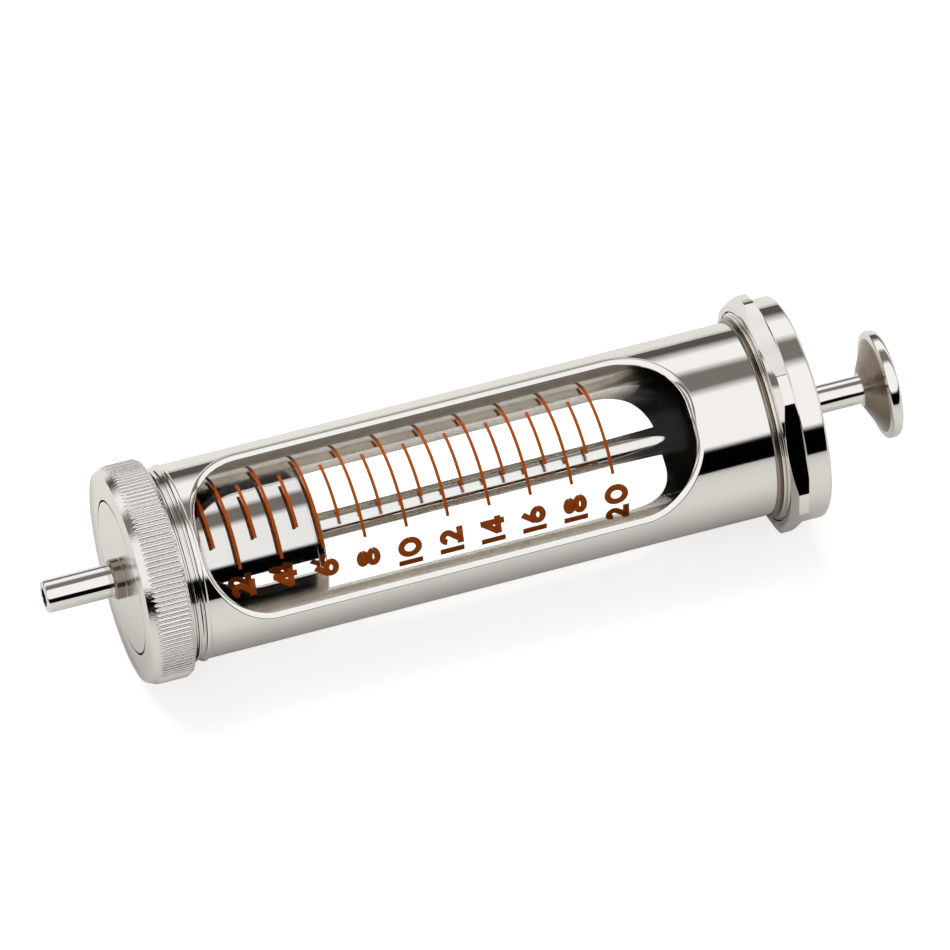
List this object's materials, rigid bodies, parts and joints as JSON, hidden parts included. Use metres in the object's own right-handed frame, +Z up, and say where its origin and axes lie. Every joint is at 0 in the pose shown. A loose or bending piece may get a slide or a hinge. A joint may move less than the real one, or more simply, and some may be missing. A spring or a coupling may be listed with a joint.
{
  "type": "metal-cased glass syringe",
  "caption": "Reusable syringe: graduated glass barrel in a windowed metal sleeve, knurled front nut with a plain nozzle, hexagonal finger flange, sliding metal piston and thumb button.",
  "frame": {"origin": "on the syringe's axis at the nozzle's shoulder, where the plain nozzle tube leaves its collar", "axes": "+X along the axis from the nozzle to the thumb button, +Z up as the syringe lies on one flat of its flange"},
  "size_m": [0.1361, 0.0384, 0.0354],
  "materials": {
    "bright_nickel": "mirror-polished nickel plate",
    "turned_nickel": "nickel plate over fine turning marks, knurled rim",
    "ground_nickel": "ground and lapped metal",
    "clear_glass": "clear, fire-polished ends",
    "scale_enamel": "fired amber-brown enamel",
    "gasket_fibre": "pressed fibre",
    "gasket_rubber": "matte rubber",
    "bush_brass": "turned brass"
  },
  "bodies": {
    "barrel": {"barrel_sleeve": "bright_nickel", "glass_tube": "clear_glass", "scale_lines": "scale_enamel", "front_gasket": "gasket_fibre", "rear_gasket": "gasket_rubber", "rear_collar": "bright_nickel", "finger_flange": "bright_nickel"},
    "nozzle": {"nozzle_tube": "bright_nickel", "nozzle_head": "turned_nickel"},
    "front_nut": {"front_nut": "turned_nickel"},
    "gland": {"thrust_washer": "bush_brass"},
    "end_cap": {"end_cap": "bright_nickel", "rod_bush": "bush_brass", "rod_packing": "gasket_rubber"},
    "piston": {"piston_shell": "ground_nickel", "piston_cap": "ground_nickel"},
    "plunger_rod": {"piston_rod": "bright_nickel", "thumb_button": "bright_nickel"}
  },
  "joints": [
    {"name": "plunger_slide", "type": "slide", "parent": "barrel", "child": "piston", "axis": [1, 0, 0], "range_m": [0, 0.0662]},
    {"name": "plunger_turn", "type": "hinge", "parent": "piston", "child": "plunger_rod", "pos_m": [0.08, 0, 0], "axis": [1, 0, 0], "continuous": true},
    {"name": "nut_travel", "type": "slide", "parent": "barrel", "child": "nozzle", "axis": [-1, 0, 0], "range_m": [0, 0.0025]},
    {"name": "nut_turn", "type": "hinge", "parent": "nozzle", "child": "front_nut", "pos_m": [0.005, 0, 0], "axis": [-1, 0, 0], "range_deg": [0, 900]},
    {"name": "cap_travel", "type": "slide", "parent": "barrel", "child": "gland", "axis": [1, 0, 0], "range_m": [0, 0.005]},
    {"name": "cap_turn", "type": "hinge", "parent": "gland", "child": "end_cap", "pos_m": [0.108, 0, 0], "axis": [1, 0, 0], "range_deg": [0, 1800]}
  ],
  "couplings": [
    {"joint": "nut_turn", "follows": "nut_travel", "rad_per_m": 6283.2},
    {"joint": "cap_turn", "follows": "cap_travel", "rad_per_m": 6283.2}
  ]
}
